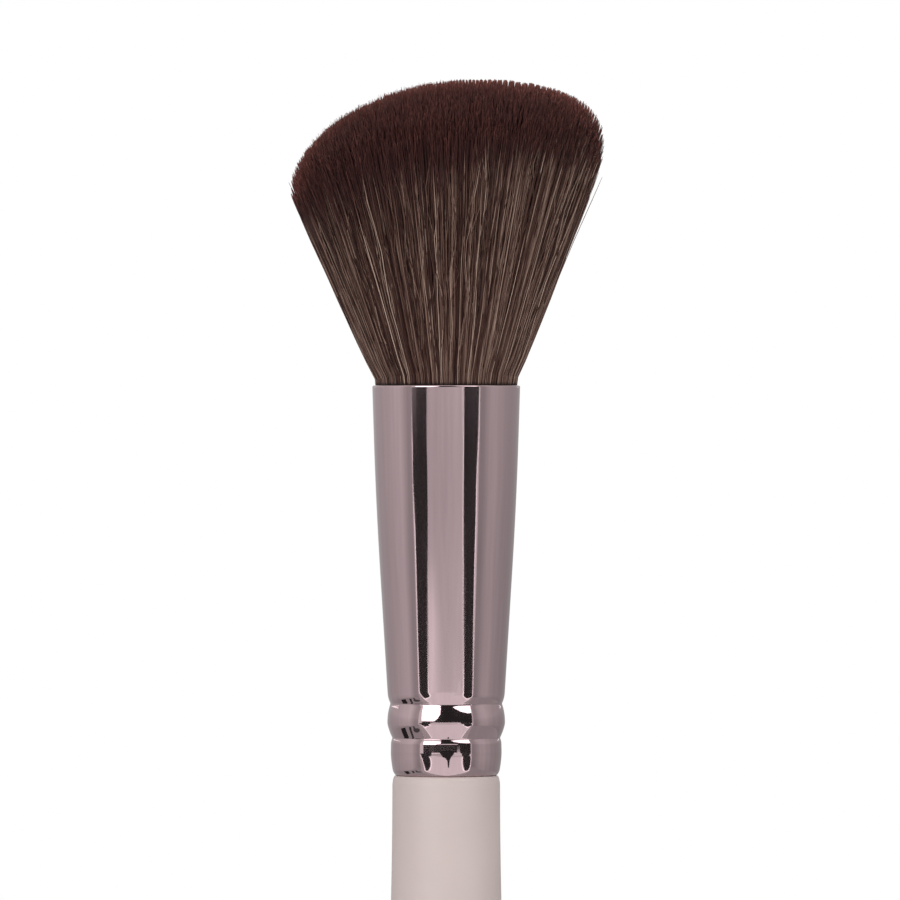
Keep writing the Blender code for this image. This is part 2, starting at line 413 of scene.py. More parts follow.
@dataclass(frozen=True)
class WoundThread:
    """Undyed twisted thread."""

    light: Colour = (222, 212, 196)
    dark: Colour = (178, 164, 142)
    slant: tuple[float, float, float] = (0.6, 0.6, 0)  # of its twist, in radians
    twists: float = 900  # to a metre
    unevenness: float = 1.5
    roughness: float = 0.85
    relief: Span = (0.5, 0.05 * MM)

    def make(self) -> Material:
        """Gives the thread slanting marks for its twist.

        Returns:
            The thread's surface.
        """
        graph = Graph("Binding thread")
        place = graph.turned(graph.place(), self.slant)
        inputs = {"Vector": place, "Scale": self.twists, "Distortion": self.unevenness}
        twist = graph.add("ShaderNodeTexWave", inputs).outputs["Fac"]
        graph.tint(twist, self.dark, self.light, (0.2, 0.8))
        graph.bump(twist, self.relief)
        graph.set(roughness=self.roughness)
        return graph.material


@dataclass(frozen=True)
class StageCard:
    """Card that the polished metal mirrors, plain or with fades that multiply each other."""

    name: str
    shade: float = 255.0  # from 0 to 255
    strength: float = 1.0
    fades: tuple[Fade, ...] = ()

    def make(self) -> Material:
        """Makes a surface that gives its own even light.

        Returns:
            The card's surface.
        """
        graph = Graph(self.name)
        graph.set(base_color=(0, 0, 0, 1), specular_ior_level=0.0, roughness=1.0)
        graph.set(emission_strength=self.strength)
        shade = None
        for axis, stops in self.fades:
            fade = self.fade(graph, axis, stops)
            if shade is not None:
                both = graph.add("ShaderNodeVectorMath", {0: shade, 1: fade}, operation="MULTIPLY")
                fade = both.outputs["Vector"]
            shade = fade
        if shade is None:
            graph.set(emission_color=rgba((self.shade,) * 3))
        else:
            graph.feed("Emission Color", shade)
        return graph.material

    @staticmethod
    def fade(graph: Graph, axis: Axis, stops: tuple[Spot, ...]) -> Socket:
        """Adds one fade.

        Args:
            graph: The card's nodes.
            axis: The way along which it runs.
            stops: Places on that way, each with its shade.

        Returns:
            The faded shade's output.
        """
        place = graph.place()
        if axis is Axis.TURN:
            turned = graph.turned(place, (0, 0, -math.pi / 2))
            radial = graph.add("ShaderNodeTexGradient", {"Vector": turned}, gradient_type="RADIAL")
            along = radial.outputs["Fac"]
            stops = tuple((spot % 360 / 360, value) for spot, value in stops)
        else:
            along = graph.axes(place)[axis.value]
        low, high = stops[0][0], stops[-1][0]
        spots = tuple(((spot - low) / (high - low), (value,) * 3) for spot, value in stops)
        return graph.ramp(graph.share(along, (low, high)), spots)


def seen_directly(nodes: bpy.types.Nodes, links: bpy.types.NodeLinks) -> Socket:
    """Adds what tells the rays that show the background from those that light the object.

    Args:
        nodes: The nodes of the material or world.
        links: Its links.

    Returns:
        An output that is 1 for the camera's, the gloss's and the glass's rays, and 0 for others.
    """
    path = nodes.new("ShaderNodeLightPath")
    total = path.outputs["Is Camera Ray"]
    for kind in ("Is Glossy Ray", "Is Transmission Ray"):
        step = nodes.new("ShaderNodeMath")
        step.operation = "MAXIMUM"
        links.new(total, step.inputs[0])
        links.new(path.outputs[kind], step.inputs[1])
        total = step.outputs["Value"]
    return total


@dataclass(frozen=True)
class StageFloor:
    """Pale matt floor that fades to the white surroundings away from the object."""

    tone: float = 0.8
    roughness: float = 0.9
    gloss: float = 0.1
    fade: Span = (0.35, 1.6)  # distances from the object

    def make(self) -> Material:
        """Makes a floor that keeps the object's shadow near it.

        Returns:
            The floor's surface.
        """
        graph = Graph("Pale floor")
        graph.set(base_color=(self.tone, self.tone, self.tone, 1))
        graph.set(roughness=self.roughness, specular_ior_level=self.gloss)
        length = graph.add("ShaderNodeVectorMath", {"Vector": graph.place()}, operation="LENGTH")
        share = graph.share(length.outputs["Value"], self.fade, "SMOOTHSTEP")
        white = graph.add("ShaderNodeEmission", {"Color": (1, 1, 1, 1), "Strength": 1.0}).outputs["Emission"]
        seen = seen_directly(graph.nodes, graph.links)
        amount = graph.add("ShaderNodeMath", {0: share, 1: seen}, operation="MULTIPLY").outputs["Value"]
        mix = graph.add("ShaderNodeMixShader", {0: amount, 1: graph.shader.outputs["BSDF"], 2: white})
        graph.links.new(mix.outputs["Shader"], graph.nodes["Material Output"].inputs["Surface"])
        return graph.material


class Bench:
    """Edit mode steps that several sub-assemblies share."""

    @staticmethod
    def clear() -> None:
        """Leaves edit mode and deselects everything."""
        if bpy.context.object and bpy.context.object.mode != "OBJECT":
            bpy.ops.object.mode_set(mode="OBJECT")
        bpy.ops.object.select_all(action="DESELECT")

    @staticmethod
    def turn(name: str, outline: Outline, sides: int, hollow: bool) -> Piece:
        """Turns an outline about Z: a circle is drawn up and scaled from ring to ring.

        Args:
            name: The piece's name.
            outline: Points of (radius, height). A hollow piece's outline runs all round its wall.
            sides: How many faces go round.
            hollow: True closes the last ring to the first, False closes both ends.

        Returns:
            The turned piece, in object mode.
        """
        Bench.clear()
        radius, height = outline[0]
        bpy.ops.mesh.primitive_circle_add(vertices=sides, radius=radius, location=(0, 0, height))
        piece = bpy.context.object
        piece.name = name
        piece.data.name = name
        bpy.ops.object.mode_set(mode="EDIT")
        bpy.ops.mesh.select_all(action="SELECT")
        if not hollow:
            bpy.ops.mesh.edge_face_add()
        for following_radius, following_height in outline[1:]:
            bpy.ops.mesh.extrude_region()
            bpy.ops.transform.translate(value=(0, 0, following_height - height))
            ratio = following_radius / radius
            bpy.ops.transform.resize(value=(ratio, ratio, 1))
            radius, height = following_radius, following_height
        if hollow:
            bpy.ops.mesh.select_all(action="DESELECT")
            bpy.ops.mesh.select_mode(type="EDGE")
            bpy.ops.mesh.select_non_manifold()
            bpy.ops.mesh.bridge_edge_loops()
        bpy.ops.mesh.select_all(action="SELECT")
        bpy.ops.mesh.remove_doubles(threshold=WELD)
        bpy.ops.mesh.normals_make_consistent(inside=False)
        bpy.ops.object.mode_set(mode="OBJECT")
        bpy.ops.object.transform_apply(location=True, rotation=True, scale=True)
        return piece

    @staticmethod
    def smooth(piece: Piece, angle: float) -> None:
        """Shades a piece smooth, apart from edges sharper than an angle in degrees.

        Args:
            piece: The piece.
            angle: The angle.
        """
        Bench.clear()
        piece.select_set(True)
        bpy.context.view_layer.objects.active = piece
        bpy.ops.object.shade_smooth_by_angle(angle=math.radians(angle))

    @staticmethod
    def dress(piece: Piece, slot: Slot, stands_for: tuple[str, ...]) -> None:
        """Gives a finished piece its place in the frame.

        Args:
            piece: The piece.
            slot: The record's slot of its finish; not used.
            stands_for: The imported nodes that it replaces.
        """
        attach(piece, next(iter(frame["bodies"])))
        if stands_for:
            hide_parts(*stands_for)
        log.info("%s: %d faces", piece.name, len(piece.data.polygons))


def arc(start: Spot, end: Spot, steps: int) -> Outline:
    """Points of a quarter ellipse of (radius, height).

    Args:
        start: Where it leaves level.
        end: Where it arrives upright.
        steps: How many stretches it has.

    Returns:
        The points, with both ends.
    """
    points = []
    for step in range(steps + 1):
        turn = math.pi / 2 * step / steps
        radius = start[0] + (end[0] - start[0]) * math.sin(turn)
        height = end[1] + (start[1] - end[1]) * math.cos(turn)
        points.append((radius, height))
    return points


def slope(crest: Spot, foot: Spot, power: float, steps: int, lean: float = 0.0) -> Outline:
    """Points of (radius, height) from a crest down, or up, to the foot of its slope.

    Args:
        crest: Where the slope starts.
        foot: Where it ends.
        power: How full it is: 1 is a straight cone.
        steps: How many stretches it has.
        lean: The radius it loses at its start to each length of height.

    Returns:
        The points, with both ends.
    """
    lost = lean * abs(crest[1] - foot[1])
    points = []
    for step in range(steps + 1):
        share = step / steps
        radius = crest[0] - lost * share - (crest[0] - lost - foot[0]) * share**power
        points.append((radius, crest[1] + (foot[1] - crest[1]) * share))
    return points


def bent(start: Spot, corner: Spot, end: Spot, steps: int) -> Outline:
    """Points of (radius, height) on a curve that rounds a corner.

    Args:
        start: Where it leaves the first side.
        corner: Where both sides would meet.
        end: Where it joins the second side.
        steps: How many stretches it has.

    Returns:
        The points, with both ends.
    """
    points = []
    for step in range(steps + 1):
        share = step / steps
        weights = ((1 - share) ** 2, 2 * share * (1 - share), share**2)
        points.append(tuple(np.dot(weights, [start, corner, end])))
    return points


def straight(start: Spot, end: Spot, steps: int) -> Outline:
    """Points of (radius, height) on a straight side.

    Args:
        start: Where it starts.
        end: Where it ends.
        steps: How many stretches it has. They are shortest at its ends, where a shape turns.

    Returns:
        The points between both ends.
    """
    points = []
    for step in range(1, steps):
        share = (1 - math.cos(math.pi * step / steps)) / 2
        points.append((start[0] + (end[0] - start[0]) * share, start[1] + (end[1] - start[1]) * share))
    return points


@dataclass
class Handle:
    """The turned, lacquered handle with the tenon that fills the ferrule's lower part."""

    finish: HandleLacquer = field(default_factory=HandleLacquer)
    seam: float = 0.08 * MM  # dark line between the ferrule's edge and the shoulder
    shoulder_radius: float = 5.24 * MM
    shoulder_rounding: float = 1.1 * MM
    neck_radius: float = 5.53 * MM
    swell_depth: float = 38.5 * MM
    end_radius: float = 4.4 * MM
    end_rounding: float = 1.4 * MM
    rest_radius: float = 3.2 * MM
    tenon_radius: float = 4.9 * MM
    tenon_chamfer: float = 0.8 * MM
    sides: int = 128
    body_steps: int = 28
    arc_steps: int = 9
    crease: float = 40  # degrees, past which an edge stays sharp

    def outline(self) -> Outline:
        """Draws the side from the flat end up to the middle of the tenon's end.

        Returns:
            Its points.
        """
        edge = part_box("ferrule")[0].z - self.seam
        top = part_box("handle")[1].z
        swell_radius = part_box("handle")[1].x
        neck = edge - self.shoulder_rounding
        swell = neck - self.swell_depth
        points = arc((self.rest_radius, 0), (self.end_radius, self.end_rounding), self.arc_steps)
        for step in range(1, self.body_steps + 1):
            share = step / self.body_steps
            ease = math.sin(math.pi / 2 * share)
            radius = self.end_radius + (swell_radius - self.end_radius) * ease
            points.append((radius, self.end_rounding + (swell - self.end_rounding) * share))
        for step in range(1, self.body_steps + 1):
            share = step / self.body_steps
            ease = (1 - math.cos(math.pi * share)) / 2
            radius = swell_radius + (self.neck_radius - swell_radius) * ease
            points.append((radius, swell + (neck - swell) * share))
        points += arc((self.shoulder_radius, edge), (self.neck_radius, neck), self.arc_steps)[-2::-1]
        points.append((self.tenon_radius, edge))
        points.append((self.tenon_radius, top - self.tenon_chamfer))
        points.append((self.tenon_radius - self.tenon_chamfer, top))
        return points

    def build(self) -> None:
        """Turns the handle and dresses it."""
        piece = Bench.turn("handle_turned", self.outline(), self.sides, hollow=False)
        Bench.smooth(piece, self.crease)
        piece.data.materials.append(self.finish.make())
        Bench.dress(piece, Slot.HANDLE, ("handle",))


@dataclass
class Ferrule:
    """The drawn metal tube: a cone in two slopes above a groove, a bead, a groove and a band.

    A power is how full the slope next to its form is, where 1 is a straight cone.
    """

    finish: RoseMetal = field(default_factory=RoseMetal)
    wall: float = 0.3 * MM
    lip: float = 0.34 * MM
    lip_depth: float = 1.2 * MM
    bend_radius: float = 7.24 * MM
    bend_depth: float = 11.9 * MM
    bend_reach: float = 7.0 * MM  # either side of it, over which the cone curves
    cone_lean: float = 0.062  # of the lower cone, as run to a rise of 1
    foot_radius: float = 6.04 * MM
    foot_rise: float = 1.26 * MM
    foot_power: float = 2.6
    upper_groove_radius: float = 5.73 * MM
    bead_upper_rise: float = 1.98 * MM
    bead_upper_power: float = 2.2
    bead_radius: float = 6.05 * MM
    bead_lower_rise: float = 1.56 * MM
    bead_lower_power: float = 1.45
    lower_groove_radius: float = 5.54 * MM
    band_upper_rise: float = 0.54 * MM
    band_upper_power: float = 1.7
    band_height: float = 0.86 * MM  # of its nearly upright part
    band_lean: float = 0.024  # of that part, which narrows upwards, as run to a rise of 1
    band_radius: float = 5.7 * MM
    band_lower_rise: float = 1.8 * MM
    band_lower_power: float = 1.6
    rounding_radius: float = 5.52 * MM
    rounding_rise: float = 0.6 * MM
    rounding_power: float = 2.2
    rounding_lean: float = 0.17  # of its start, which carries on from the band's lower side
    edge_radius: float = 5.24 * MM
    sides: int = 160
    slope_steps: int = 16
    cone_steps: int = 14
    lip_steps: int = 8
    softening: int = 3  # points over which the grooves are evened out
    crease: float = 50  # degrees, past which an edge stays sharp

    def crimps(self) -> np.ndarray:
        """Draws the outer side from the lower edge up to the foot of the cone.

        Returns:
            Rows of (radius, height), with the lower edge at 0.
        """
        edge = (self.edge_radius, 0)
        rounding = (self.rounding_radius, self.rounding_rise)
        band = (self.band_radius, self.rounding_rise + self.band_lower_rise)
        shoulder = (self.band_radius - self.band_lean * self.band_height, band[1] + self.band_height)
        lower = (self.lower_groove_radius, shoulder[1] + self.band_upper_rise)
        bead = (self.bead_radius, lower[1] + self.bead_lower_rise)
        upper = (self.upper_groove_radius, bead[1] + self.bead_upper_rise)
        foot = (self.foot_radius, upper[1] + self.foot_rise)
        steps = self.slope_steps
        points = slope(rounding, edge, self.rounding_power, steps, self.rounding_lean)[::-1]
        points += slope(band, rounding, self.band_lower_power, steps, -self.band_lean)[-2::-1]
        points += straight(band, shoulder, steps // 2)
        points += slope(shoulder, lower, self.band_upper_power, steps, self.band_lean)
        points += slope(bead, lower, self.bead_lower_power, steps)[-2::-1]
        points += slope(bead, upper, self.bead_upper_power, steps)[1:]
        points += slope(foot, upper, self.foot_power, steps, self.cone_lean)[-2::-1]
        return self.evened(np.array(points))

    def evened(self, points: np.ndarray) -> np.ndarray:
        """Rounds the creases of a run of points by averaging each with its neighbours.

        Args:
            points: Rows of (radius, height).

        Returns:
            As many rows, with both ends kept.
        """
        half = self.softening // 2
        padded = np.concatenate([points[:1]] * half + [points] + [points[-1:]] * half)
        weights = np.hanning(self.softening + 2)[1:-1]
        weights /= weights.sum()
        soft = np.stack([np.convolve(column, weights, mode="valid") for column in padded.T], axis=1)
        soft[0], soft[-1] = points[0], points[-1]
        return soft

    def outline(self) -> Outline:
        """Draws all round the wall: up the outer side, over the lip and down the inner side.

        Returns:
            Its points.
        """
        bottom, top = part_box("ferrule")[0].z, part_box("ferrule")[1].z
        mouth_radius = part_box("ferrule")[1].x
        crimps = [(radius, bottom + height) for radius, height in self.crimps()]
        bend = (self.bend_radius, top - self.bend_depth)
        half = self.lip / 2
        lip = []
        for step in range(self.lip_steps + 1):
            turn = math.pi * step / self.lip_steps
            lip.append((mouth_radius - half + half * math.cos(turn), top - half + half * math.sin(turn)))
        lower = bend[0] - self.bend_reach * self.cone_lean, bend[1] - self.bend_reach
        upper_lean = (lip[0][0] - bend[0]) / (lip[0][1] - bend[1])
        upper = bend[0] + self.bend_reach * upper_lean, bend[1] + self.bend_reach
        points = crimps + straight(crimps[-1], lower, self.cone_steps)
        points += bent(lower, bend, upper, self.cone_steps)
        points += straight(upper, lip[0], self.cone_steps) + lip
        points.append((mouth_radius - self.wall, top - self.lip_depth))
        points.append((bend[0] - self.wall, bend[1]))
        points += [(radius - self.wall, height) for radius, height in reversed(crimps)]
        return points

    def build(self) -> None:
        """Turns the tube and dresses it."""
        piece = Bench.turn("ferrule_drawn", self.outline(), self.sides, hollow=True)
        Bench.smooth(piece, self.crease)
        piece.data.materials.append(self.finish.make())
        Bench.dress(piece, Slot.FERRULE, ("ferrule",))


@dataclass(frozen=True)
class Filament:
    """The mesh of one fibre, from which all are copied."""

    corners: np.ndarray  # rows of x, y and the share of its length
    loops: np.ndarray
    starts: np.ndarray  # where each face's run of loops starts


@dataclass(frozen=True)
class Batch:
    """Fibres that make up one piece."""

    name: str
    roots: np.ndarray  # rows of (across, along) on the unit disc
    depth: float | None  # how far below their tips they start, or None from below the mouth
    steps: int
    spread: float  # how far stray ones stand off
    seed: int

    @property
    def outward(self) -> np.ndarray:
        """Directions away from the middle of the head, as rows."""
        return self.roots / np.maximum(np.hypot(*self.roots.T), SPECK)[:, None]


def pattern(places: np.ndarray, waves: Span, dice: np.random.Generator) -> np.ndarray:
    """A smooth random pattern over the root, about -1 to 1.

    Args:
        places: Rows of (across, along).
        waves: Least and most waves, in radians to a root's radius.
        dice: Where the randomness comes from.

    Returns:
        One value for each row.
    """
    total = np.zeros(len(places))
    for _ in range(PATTERN_LAYERS):
        turn, offset = dice.uniform(0, math.tau, 2)
        scale = dice.uniform(*waves)
        total += np.sin(scale * (places @ [math.cos(turn), math.sin(turn)]) + offset)
    return total / math.sqrt(PATTERN_LAYERS / 2)


@dataclass(frozen=True)
class Fan:
    """The form of the head: how the hair spreads above the mouth, and where it is cut.

    A lean is the outermost hair's run to a rise of 1. A power is how full the cut is on
    that side, where 2 is round.
    """

    root_radius: float = 7.2 * MM
    onset: float = 1.1 * MM  # height over which the hair leaves the upright
    onset_power: float = 1.5
    toe_lean: float = 0.45
    heel_lean: float = 0.382
    side_lean: float = 0.217
    length: float = 31.44 * MM
    toe_length: float = 18.8 * MM
    heel_length: float = 20.05 * MM
    side_length: float = 24.6 * MM
    peak_share: float = 0.169  # of the root's radius, from its middle towards the heel
    toe_power: float = 1.53
    heel_power: float = 2.575
    side_power: float = 2.0

    @property
    def mean_lean(self) -> float:
        """The lean of the toe and the heel, taken together."""
        return (self.heel_lean + self.toe_lean) / 2

    def place(self, across: np.ndarray, along: np.ndarray, height: np.ndarray) -> np.ndarray:
        """Where fibres run.

        Args:
            across: Root places along X, as shares of the root's radius.
            along: Root places along Y, as shares of the root's radius.
            height: Heights above the mouth.

        Returns:
            Points, with their three coordinates on the last axis.
        """
        rise = np.maximum(height, 0)
        spread = rise * (1 - np.exp(-((rise / self.onset) ** self.onset_power)))
        lean = (self.heel_lean - self.toe_lean) / 2 + self.mean_lean * across
        across_run = self.root_radius * across + spread * lean
        along_run = (self.root_radius + spread * self.side_lean) * along
        return np.stack([across_run, along_run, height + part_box("ferrule")[1].z], axis=-1)

    def cut(self, across: np.ndarray, along: np.ndarray) -> np.ndarray:
        """How far above the mouth fibres are cut.

        Args:
            across: Root places along X, as shares of the root's radius.
            along: Root places along Y, as shares of the root's radius.

        Returns:
            Heights, one for each place.
        """
        run, rise = across - self.peak_share, along
        reach = np.maximum(np.hypot(run, rise), SPECK)
        forward, sideways = run / reach, rise / reach
        rim = np.sqrt(1 - (self.peak_share * sideways) ** 2) - self.peak_share * forward
        share = np.minimum(reach / rim, 1)
        end_length = np.where(forward < 0, self.toe_length, self.heel_length)
        end_power = np.where(forward < 0, self.toe_power, self.heel_power)
        rim_length = self.side_length + (end_length - self.side_length) * forward**2
        power = self.side_power + (end_power - self.side_power) * forward**2
        return rim_length + (self.length - rim_length) * (1 - share**power) ** (1 / power)


@dataclass(frozen=True)
class Sway:
    """How fibres stray from their straight run, by clumps and by each one's own waves."""

    wave: float = 0.38 * MM
    wave_pitch: Span = (8 * MM, 18 * MM)
    wave_onset: float = 3  # how many times sooner than the tip the waves are in full
    clump: float = 0.25 * MM
    clump_waves: Span = (3, 16)  # in radians to a root's radius
    strand: float = 0.22 * MM
    slant: float = 0.018  # run to a rise of 1, by which fibres cross each other
    outward_share: float = 0.13  # of all this, so that the sides stay clean
    seed: int = 11

    def stray(self, batch: Batch, fan: Fan, height: np.ndarray, dice: np.random.Generator) -> np.ndarray:
        """How far fibres stray.

        Args:
            batch: The fibres.
            fan: The form of the head.
            height: Heights above the mouth, as fibres by corners.
            dice: Where their own scatter comes from.

        Returns:
            Distances along X and Y, on the last axis.
        """
        count = len(batch.roots)
        shared = np.random.default_rng(self.seed)
        outward = batch.outward
        sideways = np.stack([-outward[:, 1], outward[:, 0]], axis=1)
        rise = np.maximum(height, 0)
        grown = rise / fan.length
        total = np.zeros((*height.shape, 2))
        for heading, amount in ((sideways, 1.0), (outward, self.outward_share)):
            drift = pattern(batch.roots, self.clump_waves, shared) * self.clump
            drift = (drift + pattern(outward, STRAND_WAVES, shared) * self.strand)[:, None] * grown
            swing = self.wave * (dice.normal(0, 1, count) * dice.random(count))[:, None]
            pitch = dice.uniform(*self.wave_pitch, count)[:, None]
            phase = dice.uniform(0, math.tau, count)[:, None]
            bend = np.sin(math.tau * rise / pitch + phase) - np.sin(phase)
            bend *= swing * np.minimum(grown * self.wave_onset, 1)
            bend += self.slant * dice.normal(0, 1, count)[:, None] * rise
            loose = batch.spread * dice.normal(0, 1, count)[:, None] * grown**2
            total += ((drift + bend) * amount + loose)[..., None] * heading[:, None]
        return total


@dataclass(frozen=True)
class Teeth:
    """The fine teeth that the tips are drawn into, side by side round the fan."""

    pitch: float = 0.0195  # of the root's radius
    waves: Span = (2, 9)  # of their unevenness, in radians to a root's radius
    depth: float = 0.1  # how much a place along Y counts in it against one along X
    reach: float = 0.32  # of the root's radius, either side of the plane of the fan, with teeth
    length: float = 1.0 * MM
    drift: float = 2.2  # how uneven their spacing is, in teeth
    pull: float = 0.85  # share of the way to a tooth's middle that its fibres are drawn
    ease: float = 0.85  # share of the pull that is lost towards the middle of the fan
    closed: float = 0.75  # share of the pull that is lost where teeth run together
    point: float = 0.08 * MM  # by which a tooth's sides are shorter than its middle
    tufting: float = 0.1 * MM  # by which whole teeth are longer or shorter
    count: int = 4096  # more than the fan has
    seed: int = 12

    def draw(
        self, batch: Batch, fan: Fan, end: np.ndarray, astray: np.ndarray
    ) -> tuple[np.ndarray, np.ndarray]:
        """Draws fibres into teeth.

        Args:
            batch: The fibres.
            fan: The form of the head.
            end: Heights of their tips above the mouth.
            astray: How far along X their tips have strayed.

        Returns:
            How far each root would move across to run to its tooth, and by how much each fibre is cut back.
        """
        shared = np.random.default_rng(self.seed)
        across = batch.roots[:, 0] + astray / (fan.root_radius + end * fan.mean_lean)
        places = np.stack([across, batch.roots[:, 1] * self.depth], axis=1)
        order = across / self.pitch + pattern(places, self.waves, shared) * self.drift
        tooth = np.round(order)
        offset = tooth - order
        closed = np.clip(pattern(places, self.waves, shared) / 2 + 0.5, 0, 1)
        within = np.clip(1 - (batch.roots[:, 1] / self.reach) ** 2, 0, 1)
        drawn = self.pull * (1 - self.ease * (1 - np.abs(batch.roots[:, 0])))
        pull = offset * self.pitch * drawn * (1 - self.closed * closed) * within
        shares = shared.random(self.count)[tooth.astype(int)]
        return pull, (self.tufting * shares + self.point * (2 * offset) ** 2) * within


@dataclass(frozen=True)
class FibreTones:
    """Places on the hair's map: tone across from 0 to 1, and upwards how near the tip."""

    light_share: float = 0.36  # of the fibres
    light_tone: float = 0.69
    dark_tone: float = 0.385
    end_tone: float = 0.07  # added towards the toe and the heel
    heel_tone: float = 0.06  # added towards the heel and taken off towards the toe
    fibre_spread: float = 0.13
    strand_spread: float = 0.07
    dark_length: float = 3.8 * MM  # of the dark tips
    dark_spread: Span = (0.5, 1.5)  # shares of it
    dark_loss: Span = (0.9, 0.4)  # shares of it lost at the heel and at the toe
    dark_power: float = 0.6  # how late it is lost on the way there
    ridge_reach: float = 0.6  # of the root's radius, either side of the fan's plane, with the palest tips, whose painted glow lights the outline
    ridge_level: float = 0.74  # of the map's height, that all other tips reach, so that they keep little of the painted glow
    ridge_ease: float = 0.12  # share of what is past it that they keep
    width: float = 0.02  # of the map, that one fibre takes
    seed: int = 13

    def chart(
        self, batch: Batch, below_tip: np.ndarray, side: np.ndarray, dice: np.random.Generator
    ) -> np.ndarray:
        """Finds places on the map.

        Args:
            batch: The fibres.
            below_tip: Distances from the tip, as fibres by corners.
            side: Which of its three sides each corner of a fibre is on: -1, 0 or 1.
            dice: Where their own scatter comes from.

        Returns:
            Places, with both coordinates on the last axis.
        """
        count = len(batch.roots)
        shared = np.random.default_rng(self.seed)
        aside = np.abs(batch.roots[:, 0])
        light = dice.random(count) < self.light_share
        tone = np.where(light, self.light_tone, self.dark_tone) + self.end_tone * aside
        tone += self.heel_tone * batch.roots[:, 0] + self.fibre_spread * dice.normal(0, 1, count)
        tone += self.strand_spread * pattern(batch.outward, STRAND_WAVES, shared)
        shorter = np.where(batch.roots[:, 0] > 0, *self.dark_loss) * aside**self.dark_power
        dark = (self.dark_length * (1 - shorter) * dice.uniform(*self.dark_spread, count))[:, None]
        across = np.clip(tone, self.width, 1 - self.width)[:, None] + self.width / 4 * side
        upwards = dark / (dark + below_tip) * (1 - self.width)
        # Painted glow: only the fibres near the fan's plane, which make the outline seen from the camera,
        # reach the palest very ends.
        ridge = np.clip(1 - np.abs(batch.roots[:, 1]) / self.ridge_reach, 0, 1)
        cap = (self.ridge_level + (1 - self.ridge_level) * ridge)[:, None]
        upwards = np.minimum(upwards, cap + (upwards - cap) * self.ridge_ease)
        return np.stack([across, upwards + self.width / 4 * np.abs(side)], axis=-1)


